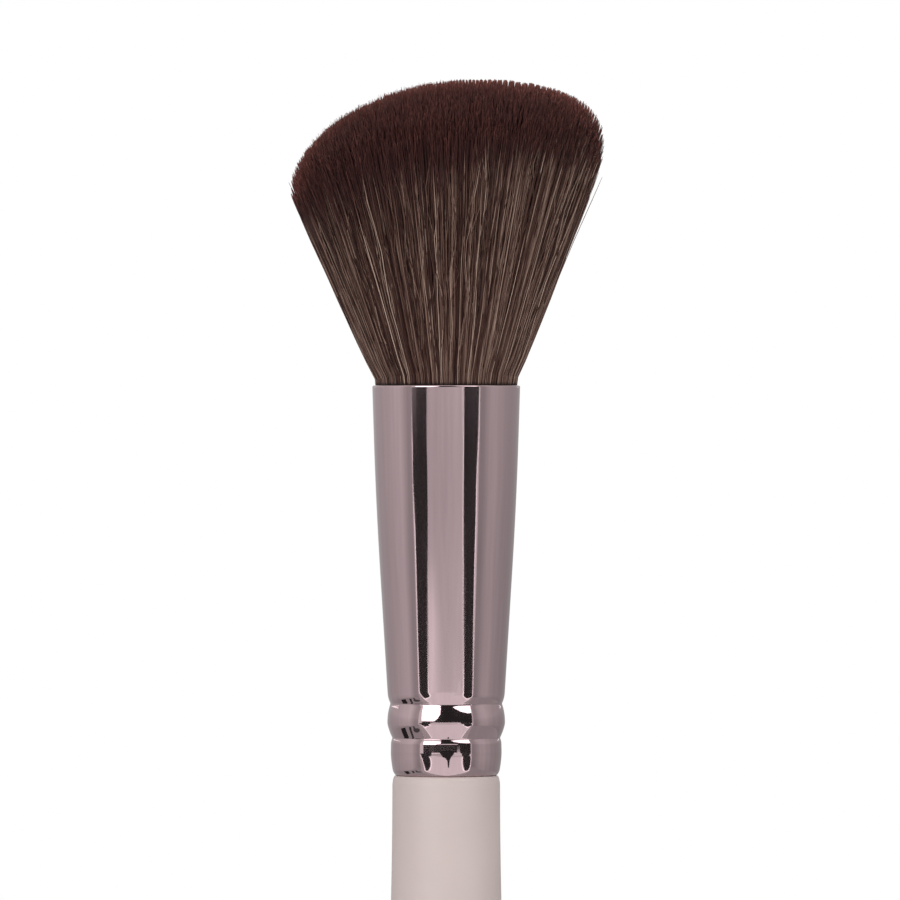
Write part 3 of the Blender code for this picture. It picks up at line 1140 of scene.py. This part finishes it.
@dataclass
class HairHead:
    """The head of hair: fine tapered fibres round and above a packed core."""

    surface: Material = field(default_factory=lambda: HairFibre().make())
    mass: HairMass = field(default_factory=HairMass)
    fan: Fan = field(default_factory=Fan)
    sway: Sway = field(default_factory=Sway)
    teeth: Teeth = field(default_factory=Teeth)
    tones: FibreTones = field(default_factory=FibreTones)
    fibres: int = 38000
    root_scatter: Span = (0.004, 0.02)  # of their reach, and of their turn in radians
    shell_share: float = 0.9  # of the root's radius, past which fibres start below the mouth
    shell_steps: int = 14
    sink: float = 1.6 * MM  # of those fibres' lower ends below the mouth
    crown_depth: float = 7.5 * MM  # below the cut, at which the others start
    crown_spread: Span = (0.85, 1.1)  # shares of it
    crown_steps: int = 3
    lift: float = 0.04 * MM  # of the longest fibres above the even cut
    uneven: float = 1.0 * MM
    uneven_power: float = 2.2  # how few fibres are short
    thickness: float = 0.095 * MM
    thickness_spread: Span = (0.75, 1.2)  # shares of it
    taper_length: float = 2.2 * MM
    taper_power: float = 1.5
    point_share: float = 0.45  # of the thickness, at the tip
    strays: int = 60
    stray_reach: float = 0.9 * MM
    core_depth: float = 3.4 * MM  # of the core below the cut
    core_sides: int = 96
    core_rings: int = 12
    core_levels: int = 8
    core_root_radius: float = 6.3 * MM
    core_crease: float = 60  # degrees, past which an edge stays sharp
    pieces: int = 4  # into which the shell and the crown are each divided
    seed: int = 11

    @staticmethod
    def filament(steps: int) -> Filament:
        """Models one three-sided fibre of unit size in edit mode, closed at both ends.

        Args:
            steps: How many stretches it has from end to end.

        Returns:
            Its corners and faces.
        """
        Bench.clear()
        bpy.ops.mesh.primitive_circle_add(vertices=3, radius=0.5, fill_type="NGON")
        piece = bpy.context.object
        bpy.ops.object.mode_set(mode="EDIT")
        bpy.ops.mesh.select_all(action="SELECT")
        for _ in range(steps):
            bpy.ops.mesh.extrude_region()
            bpy.ops.transform.translate(value=(0, 0, 1 / steps))
        bpy.ops.mesh.select_all(action="SELECT")
        bpy.ops.mesh.normals_make_consistent(inside=False)
        bpy.ops.object.mode_set(mode="OBJECT")
        corners = np.array([corner.co for corner in piece.data.vertices])
        loops = np.array([loop.vertex_index for loop in piece.data.loops])
        starts = np.array([face.loop_start for face in piece.data.polygons])
        bpy.data.objects.remove(piece)
        return Filament(corners, loops, starts)

    def roots(self, dice: np.random.Generator) -> np.ndarray:
        """Spreads root places evenly, with some scatter, over the unit disc.

        Args:
            dice: Where the scatter comes from.

        Returns:
            Rows of (across, along).
        """
        index = np.arange(self.fibres) + 0.5
        reach_scatter, turn_scatter = self.root_scatter
        reach = np.sqrt(index / self.fibres) + dice.normal(0, reach_scatter, self.fibres)
        turn = index * math.pi * (3 - math.sqrt(5)) + dice.normal(0, turn_scatter, self.fibres)
        reach = np.clip(reach, 0, 1)
        return np.stack([reach * np.cos(turn), reach * np.sin(turn)], axis=1)

    def lengths(self, batch: Batch, dice: np.random.Generator) -> tuple[np.ndarray, np.ndarray]:
        """Heights above the mouth at which fibres start and end.

        Args:
            batch: The fibres.
            dice: Where their own scatter comes from.

        Returns:
            The starts and the ends, one of each for each fibre.
        """
        count = len(batch.roots)
        short = self.uneven * dice.random(count) ** self.uneven_power
        end = self.fan.cut(*batch.roots.T) + self.lift - short
        if batch.depth is None:
            return np.full(count, -self.sink), end
        return end - batch.depth * dice.uniform(*self.crown_spread, count), end

    def grow(self, batch: Batch) -> None:
        """Builds one piece of fibres.

        Args:
            batch: The fibres.
        """
        dice = np.random.default_rng([self.seed, batch.seed])
        filament = self.filament(batch.steps)
        start, end = self.lengths(batch, dice)
        shares = filament.corners[:, 2]
        shares = (1 - np.cos(math.pi * shares)) / 2 if batch.depth is None else 1 - (1 - shares) ** 2
        height = start[:, None] + (end - start)[:, None] * shares
        below_tip = end[:, None] - height
        stray = self.sway.stray(batch, self.fan, height, dice)
        pull, short = self.teeth.draw(batch, self.fan, end, stray[:, np.argmax(shares), 0])
        across, along = batch.roots.T[..., None]
        near = np.clip(1 - below_tip / self.teeth.length, 0, 1)
        spots = self.fan.place(across + pull[:, None] * near, along, height)
        spots[..., :2] += stray
        spots[..., 2] -= short[:, None] * np.maximum(height, 0) / end[:, None]
        taper = np.clip(1 - below_tip / self.taper_length, 0, 1) ** self.taper_power
        width = self.thickness * (1 - (1 - self.point_share) * taper)
        width *= dice.uniform(*self.thickness_spread, len(height))[:, None]
        turn = dice.uniform(0, math.tau, len(height))[:, None]
        corner_x, corner_y = filament.corners[:, 0], filament.corners[:, 1]
        spots[..., 0] += width * (corner_x * np.cos(turn) - corner_y * np.sin(turn))
        spots[..., 1] += width * (corner_x * np.sin(turn) + corner_y * np.cos(turn))
        side = np.round(np.arctan2(corner_y, corner_x) / (math.tau / 3))
        self.make(batch.name, filament, spots, self.tones.chart(batch, below_tip, side, dice))

    def make(self, name: str, filament: Filament, spots: np.ndarray, places: np.ndarray) -> None:
        """Makes one mesh of many copies of the fibre and dresses it.

        Args:
            name: The piece's name.
            filament: The fibre that is copied.
            spots: Corners of each copy, as copies by corners by three.
            places: Each corner's place on the hair's map.
        """
        count, size = spots.shape[:2]
        copies = np.arange(count)[:, None]
        loops = (filament.loops + size * copies).reshape(-1)
        starts = (filament.starts + len(filament.loops) * copies).reshape(-1)
        mesh = bpy.data.meshes.new(name)
        mesh.vertices.add(count * size)
        mesh.vertices.foreach_set("co", spots.reshape(-1).astype(np.float32))
        mesh.loops.add(len(loops))
        mesh.loops.foreach_set("vertex_index", loops.astype(np.int32))
        mesh.polygons.add(len(starts))
        mesh.polygons.foreach_set("loop_start", starts.astype(np.int32))
        mesh.polygons.foreach_set("use_smooth", np.ones(len(starts), bool))
        layer = mesh.uv_layers.new(name=HAIR_MAP)
        layer.data.foreach_set("uv", places.reshape(-1, 2)[loops].reshape(-1).astype(np.float32))
        mesh.update()
        mesh.validate()
        piece = bpy.data.objects.new(name, mesh)
        bpy.context.scene.collection.objects.link(piece)
        piece.data.materials.append(self.surface)
        Bench.dress(piece, Slot.HAIR, ())

    def core(self) -> None:
        """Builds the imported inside: a disc drawn up the fan under the fibres, and down to the resin."""
        share = self.shell_share
        rings, levels = self.core_rings, self.core_levels
        outline = [(share * ring / rings, 1.0) for ring in range(1, rings + 1)]
        outline += [(share, 1 - step / levels) for step in range(1, levels + 1)]
        piece = Bench.turn("hair_core", outline, self.core_sides, hollow=False)
        corners = np.array([corner.co for corner in piece.data.vertices])
        across, along, level = corners.T
        spots = self.fan.place(across, along, level * (self.fan.cut(across, along) - self.core_depth))
        lowest = level < 1 / levels / 2
        spots[lowest, 2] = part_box("bristle_tuft")[0].z
        spots[lowest, :2] = corners[lowest, :2] * self.core_root_radius / share
        piece.data.vertices.foreach_set("co", spots.reshape(-1).astype(np.float32))
        piece.data.update()
        Bench.smooth(piece, self.core_crease)
        piece.data.materials.append(self.mass.make())
        Bench.dress(piece, Slot.HAIR, ("bristle_tuft",))

    def build(self) -> None:
        """Builds the core and the fibres over it."""
        self.core()
        dice = np.random.default_rng(self.seed)
        roots = self.roots(dice)
        reach = np.hypot(*roots.T)
        shell = roots[reach > self.shell_share]
        crown = roots[reach <= self.shell_share]
        shell = shell[np.argsort(np.arctan2(shell[:, 1], shell[:, 0]))]
        crown = crown[np.argsort(crown[:, 0])]
        for number, part in enumerate(np.array_split(shell, self.pieces), 1):
            self.grow(Batch(f"hair_side_{number}", part, None, self.shell_steps, 0.0, number))
        for number, part in enumerate(np.array_split(crown, self.pieces), 1):
            seed = self.pieces + number
            self.grow(Batch(f"hair_crown_{number}", part, self.crown_depth, self.crown_steps, 0.0, seed))
        loose = shell[dice.choice(len(shell), self.strays, replace=False)]
        self.grow(Batch("hair_stray", loose, None, self.shell_steps, self.stray_reach, 0))


@dataclass(frozen=True)
class Inside:
    """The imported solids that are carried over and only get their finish."""

    resin: CastResin = CastResin()
    thread: WoundThread = WoundThread()

    def build(self) -> None:
        """Dresses each carried-over solid."""
        for name, finish in (("resin_plug", self.resin), ("root_binding", self.thread)):
            solid = frame["nodes"][name]
            solid.material_slots[0].material = finish.make()
            log.info("%s: carried over", name)


def around(turn: float, rise: float, distance: float, height: float) -> Vector:
    """A place round the brush.

    Args:
        turn: Degrees from the camera's side towards +X.
        rise: Degrees above the level.
        distance: How far out, measured level.
        height: Where the level is.

    Returns:
        The place.
    """
    angle = math.radians(turn)
    up = distance * math.tan(math.radians(rise))
    return Vector((distance * math.sin(angle), -distance * math.cos(angle), height + up))


@dataclass
class Cards:
    """What the polished metal mirrors: cards round the brush that nothing else sees.

    Turns are degrees from the camera's side towards +X. Rises are degrees above the
    ferrule's lower edge, as the brush sees them.
    """

    gap: float = 0.4 * MM  # between cards laid on each other
    wall_step: float = 4.0  # degrees between the upright edges of a curved card
    strip_point: float = 44.0  # degrees, at which each strip comes to its near point
    rim_width: float = 1.2  # degrees, outside each strip
    rim_near_share: float = 2.0  # of the rim's width, inside the strips' near part
    rim_far_shares: Span = (0.1, 0.8)  # inside the left and the right strip's far part
    rim_near_end: float = 0.8
    sheet_turns: tuple[float, ...] = (-57, -40, -20, 0, 20, 40, 57)
    sheet_distances: tuple[float, ...] = (0.75, 1.7, 3.34)
    bar_distance: float = 3.35
    line_distance: float = 3.36
    post_distance: float = 1.95
    post_foot: float = 0.5  # degrees
    flank_distance: float = 0.35
    flank_rises: Span = (-16.5, 50)
    flank_foot_gap: float = 0.01  # between a flank and the floor's card at its foot
    flank_foot_near: float = 0.02  # distance at which that card starts
    flank_foot_steps: int = 30
    cord_distance: float = 0.009
    peak_distance: float = 0.05
    shelf_rise: float = 3.45 * MM  # above the ferrule's lower edge
    glint_distance: float = 0.3
    strip_start: float = 0.25  # distance of each strip's near point
    rim_start: float = 0.2

    # Distance, then the turns of the left strip's outer and inner edge and the right one's inner and outer.
    strip_edges: tuple[tuple[float, ...], ...] = (
        (0.33, -47, -34, 37, 52),
        (0.41, -49, -33, 35, 53),
        (0.62, -51, -34, 35, 53),
        (0.78, -53, -36.5, 35.4, 52.5),
        (0.84, -54.3, -34.3, 32.7, 53.3),
        (0.92, -54, -32.8, 30.7, 51),
        (1.02, -53.4, -31.6, 29.6, 49.8),
        (1.25, -53.4, -30.5, 28.5, 50.4),
        (1.75, -56.2, -30.2, 28.1, 50.2),
        (2.45, -55, -31.2, 28.2, 52.6),
        (2.72, -56, -29.9, 26.6, 53),
        (3.02, -59.5, -29.2, 25.8, 53.6),
        (3.3, -61, -28.5, 25, 54.5),
    )

    @staticmethod
    def card(surface: StageCard, corners: list[Vector], faces: list[tuple[int, ...]] | None = None) -> None:
        """Sets up one card that only the gloss of the metal sees.

        Args:
            surface: Its name and shades.
            corners: Its corners, in order if it is one face.
            faces: The faces between them, or None for one.
        """
        mesh = bpy.data.meshes.new(surface.name)
        mesh.from_pydata([tuple(corner) for corner in corners], [], faces or [tuple(range(len(corners)))])
        mesh.materials.append(surface.make())
        card = bpy.data.objects.new(surface.name, mesh)
        bpy.context.scene.collection.objects.link(card)
        for kind in ("camera", "diffuse", "transmission", "volume_scatter", "shadow"):
            setattr(card, f"visible_{kind}", False)

    def upright(self, surface: StageCard, distance: float, turns: Turns) -> None:
        """Stands a card at a distance, by the turns and rises of its corners."""
        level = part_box("ferrule")[0].z
        self.card(surface, [around(*turn, distance, level) for turn in turns])

    def laid(self, surface: StageCard, layer: int, turns: Turns) -> None:
        """Lays a card on the floor, over as many layers, by the turns and distances of its corners."""
        height = (layer + 1) * self.gap
        self.card(surface, [around(turn, 0, distance, height) for turn, distance in turns])

    def wall(self, surface: StageCard, distance: float, edges: list[tuple[float, float, float]]) -> None:
        """Stands a curved card round the brush.

        Args:
            surface: Its name and shades.
            distance: How far out.
            edges: Its upright edges from left to right, each as its turn and the rises of its lower and
                upper end.
        """
        knots = np.array(edges, float)
        turns = np.union1d(np.arange(knots[0, 0], knots[-1, 0], self.wall_step), knots[:, 0])
        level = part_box("ferrule")[0].z
        corners = []
        for turn in turns:
            for column in (1, 2):
                rise = np.interp(turn, knots[:, 0], knots[:, column])
                corners.append(around(turn, rise, distance, level))
        faces = [(spot, spot + 2, spot + 3, spot + 1) for spot in range(0, len(corners) - 2, 2)]
        self.card(surface, corners, faces)

    def strips(self) -> None:
        """Lays the two dark strips, each with a light rim, that give the cone its stripes."""
        spots, left_outer, left_inner, right_inner, right_outer = zip(*self.strip_edges, strict=True)
        sides = (("left", -1, left_inner, left_outer), ("right", 1, right_inner, right_outer))
        for (name, way, inner, outer), far_share in zip(sides, self.rim_far_shares, strict=True):
            point = way * self.strip_point
            corners = [(point, self.strip_start), *zip(outer, spots, strict=True)]
            corners += reversed(list(zip(inner, spots, strict=True)))
            self.laid(StageCard(f"dark_strip_{name}", 52), 3, corners)
            rim = way * self.rim_width
            corners = [(point, self.rim_start)]
            corners += [(turn + rim, spot) for turn, spot in zip(outer, spots, strict=True)]
            for turn, spot in reversed(list(zip(inner, spots, strict=True))):
                share = self.rim_near_share if spot < self.rim_near_end else far_share
                corners.append((turn - rim * share, spot))
            self.laid(StageCard(f"light_rim_{name}", strength=1.9), 2, corners)

    def sheets(self) -> None:
        """Lays the pale sheets between and beside the strips."""
        turns = self.sheet_turns
        near, middle, far = self.sheet_distances
        across = (Axis.X, ((-0.8, 244), (0.0, 246), (0.6, 255)))
        inwards = ((-1.7, 225), (-1.3, 224), (-1.07, 229), (-0.93, 232), (-0.83, 237), (-0.75, 242))
        outwards = ((-3.3, 222), (-1.7, 225))
        for name, start, stop, fade in (("middle", near, middle, inwards), ("far", middle, far, outwards)):
            corners = [(turn, stop) for turn in turns] + [(turn, start) for turn in reversed(turns)]
            self.laid(StageCard(f"{name}_sheet", fades=((Axis.Y, fade), across)), 0, corners)
        wedge = [(-33, 0.95), (-24, 0.92), (-14, 0.87), (-4, 0.83), (-4, near), (-33, near)]
        glow = ((-0.45, 234), (-0.355, 244), (-0.28, 230), (-0.2, 216), (-0.12, 208), (0.0, 202))
        self.laid(StageCard("light_wedge", strength=1.35, fades=((Axis.X, glow),)), 1, wedge)
        inside = [(-35.5, 0.1), (-49.4, 0.55), (-53, near), *((turn, near) for turn in turns[1:-1])]
        inside += [(51, near), (52, 0.55), (37.2, 0.1), (0, 0.04)]
        self.laid(StageCard("near_sheet", strength=1.1), 1, inside)
        border = [(0, 0.037), (-38, 0.1), (-51, 0.55), (-54.5, 0.77), (53, 0.77), (53.6, 0.55), (39.5, 0.1)]
        self.laid(StageCard("near_border", strength=1.6), 0, border)

    def arch(self) -> None:
        """Stands the dark bar and post between the lamps, as the crimps show them."""
        left, right = -48.5, 52.5
        line_left, line_right = -31, 28.5
        low, line, top = -1.76, -0.1, 3.6
        bar = [(left, low, top), (line_left, low, top), (line_left + 0.5, line, top)]
        bar += [(line_right - 0.5, line, top), (line_right, low, top), (right, low, top)]
        self.wall(StageCard("dark_bar", 50), self.bar_distance, bar)
        under = [(line_left, low, line), (line_right, low, line)]
        self.wall(StageCard("light_line", strength=1.6), self.line_distance, under)
        tops = [(left, 2.6), (-24, 2.8), (-17, 8), (-12, 17), (-11.9, 45), (11, 45), (12, 34), (17, 30)]
        tops += [(24, 26), (30, 22), (45, 17.5), (right, 17.5)]
        post = [(turn, self.post_foot, rise) for turn, rise in tops]
        self.wall(StageCard("dark_post", 50), self.post_distance, post)

    def flanks(self) -> None:
        """Stands a curved wall beside and behind the brush, lighter upwards and towards the front."""
        low, high = self.flank_rises
        upwards = ((0.0, 218), (0.055, 232), (0.09, 230), (0.127, 239), (0.155, 253), (0.5, 253))
        left = ((172, 203), (140, 206), (131, 212), (120, 216), (109, 224), (100, 229), (93, 235), (86, 240))
        left += ((77, 244), (73, 232), (69, 218), (63, 200), (56, 198))
        right = ((54, 184), (62, 188), (68, 207), (74, 221), (80, 223), (86, 224), (93, 214), (100, 210))
        right += ((108, 200), (117, 196), (128, 189), (140, 186), (172, 184))
        for name, start, stop, fade in (("left", -172, -56, left), ("right", 54, 172, right)):
            way = math.copysign(1, start)
            turning = tuple((way * turn, value) for turn, value in fade)
            surface = StageCard(f"flank_{name}", fades=((Axis.Z, upwards), (Axis.TURN, turning)))
            self.wall(surface, self.flank_distance, [(start, low, high), (stop, low, high)])
            edge, near = self.flank_distance + self.flank_foot_gap, self.flank_foot_near
            foot = [(turn, edge) for turn in np.linspace(start, stop, self.flank_foot_steps)]
            self.laid(StageCard(f"flank_floor_{name}", 179), 0, foot + [(stop, near), (start, near)])

    def things(self) -> None:
        """Sets out the small things near the brush that its bead and band mirror."""
        self.laid(StageCard("dark_case", 45), 1, [(-107, 0.29), (-92, 0.29), (-98, 0.14), (-115, 0.14)])
        self.laid(StageCard("dark_pen", 60), 1, [(-82, 0.28), (-76, 0.28), (-82, 0.14), (-88, 0.14)])
        spoon = [(-72, 0.31), (-68, 0.31), (-67, 0.225), (-61, 0.215), (-58, 0.19), (-60, 0.165)]
        spoon += [(-66, 0.155), (-73, 0.165), (-75, 0.19), (-72, 0.225)]
        self.laid(StageCard("brown_spoon", 88), 1, spoon)
        cord = [(-10, 16), (-5, 9.5), (-1.5, 8.5), (1.6, 5.5), (2.6, -1.8), (4.2, -1.8), (5, 5.5)]
        cord += [(7, 9.5), (9.5, 12), (12, 16)]
        self.upright(StageCard("dark_cord", 50), self.cord_distance, cord)
        shelf = [(-11, 0.0063), (14, 0.0063), (15, 0.0093), (-12, 0.0093)]
        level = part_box("ferrule")[0].z + self.shelf_rise
        corners = [around(turn, 0, distance, level) for turn, distance in shelf]
        self.card(StageCard("light_shelf", strength=1.1), corners)
        peak = [(13, -3), (31.5, -3), (31, 0), (26.5, 3.9), (22, 3.9), (16, 0)]
        self.upright(StageCard("light_peak"), self.peak_distance, peak)
        left = [(-150, 8.3), (-116, 15), (-116, 16.3), (-150, 9.6)]
        right = [(140, 9.2), (156, 8.2), (156, 9.2), (140, 10.2)]
        for name, glint in (("left", left), ("right", right)):
            self.upright(StageCard(f"side_glint_{name}", strength=1.8), self.glint_distance, glint)

    def build(self) -> None:
        """Sets up all the cards."""
        self.strips()
        self.sheets()
        self.arch()
        self.flanks()
        self.things()


@dataclass(frozen=True)
class SoftBox:
    """A soft lamp that faces the brush."""

    name: str
    turn: float  # degrees from the camera's side towards +X
    rise: float  # degrees above the middle of the view
    size: Span  # width and height
    power: float  # in watts


@dataclass
class Studio:
    """Floor, soft lamps, mirrored cards, surroundings and the camera."""

    distance: float = 1.0  # of the camera
    view_width: float = 92.43 * MM
    view_centre: Spot = (0.39 * MM, 137.36 * MM)
    view_depth: float = 100.0
    lamp_distance: float = 2.0
    lamps: tuple[SoftBox, ...] = (
        SoftBox("soft_box_left", -30.5, 16, (1.42, 1.15), 15.2),
        SoftBox("soft_box_right", 35, 25, (1.3, 0.95), 10.6),
    )
    surroundings: float = 0.51
    floor_radius: float = 3.4
    floor_sides: int = 96

    def light(self, box: SoftBox) -> None:
        """Hangs one soft box.

        Args:
            box: Its place, size and power.
        """
        level = self.view_centre[1]
        light = bpy.data.lights.new(box.name, "AREA")
        light.shape = "RECTANGLE"
        light.size, light.size_y = box.size
        light.energy = box.power
        lamp = bpy.data.objects.new(box.name, light)
        lamp.location = around(box.turn, box.rise, self.lamp_distance, level)
        lamp.rotation_euler = (Vector((0, 0, level)) - lamp.location).to_track_quat("-Z", "Y").to_euler()
        bpy.context.scene.collection.objects.link(lamp)

    def floor(self) -> None:
        """Lays the floor under the brush."""
        Bench.clear()
        bpy.ops.mesh.primitive_circle_add(
            vertices=self.floor_sides, radius=self.floor_radius, fill_type="NGON", location=(0, 0, 0)
        )
        floor = bpy.context.object
        floor.name = "floor"
        floor.data.materials.append(StageFloor().make())

    def world(self) -> None:
        """Surrounds the stage with even light that the camera sees as white."""
        world = bpy.data.worlds.new("Soft surroundings")
        world.use_nodes = True
        nodes, links = world.node_tree.nodes, world.node_tree.links
        level = self.surroundings
        nodes["Background"].inputs["Color"].default_value = (level, level, level, 1)
        white = nodes.new("ShaderNodeBackground")
        white.inputs["Color"].default_value = (1, 1, 1, 1)
        mix = nodes.new("ShaderNodeMixShader")
        links.new(seen_directly(nodes, links), mix.inputs[0])
        links.new(nodes["Background"].outputs["Background"], mix.inputs[1])
        links.new(white.outputs["Background"], mix.inputs[2])
        links.new(mix.outputs["Shader"], nodes["World Output"].inputs["Surface"])
        bpy.context.scene.world = world

    def camera(self) -> None:
        """Aims a long lens level at the upper half of the brush."""
        lens = bpy.data.cameras.new("camera")
        lens.lens = lens.sensor_width * self.distance / self.view_width
        lens.clip_end = self.view_depth
        camera = bpy.data.objects.new("camera", lens)
        camera.location = (self.view_centre[0], -self.distance, self.view_centre[1])
        camera.rotation_euler = (math.pi / 2, 0, 0)
        bpy.context.scene.collection.objects.link(camera)
        bpy.context.scene.camera = camera

    def build(self) -> None:
        """Sets up the whole stage."""
        self.floor()
        self.world()
        for box in self.lamps:
            self.light(box)
        Cards().build()
        self.camera()
        bpy.context.scene.view_settings.view_transform = "Standard"
        log.info("stage ready")


def main() -> None:
    """Builds the brush piece by piece, then its stage."""
    logging.basicConfig(level=logging.INFO, format="%(name)s: %(message)s")
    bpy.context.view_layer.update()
    Handle().build()
    Ferrule().build()
    HairHead().build()
    Inside().build()
    Studio().build()


if __name__ == "__main__":
    main()
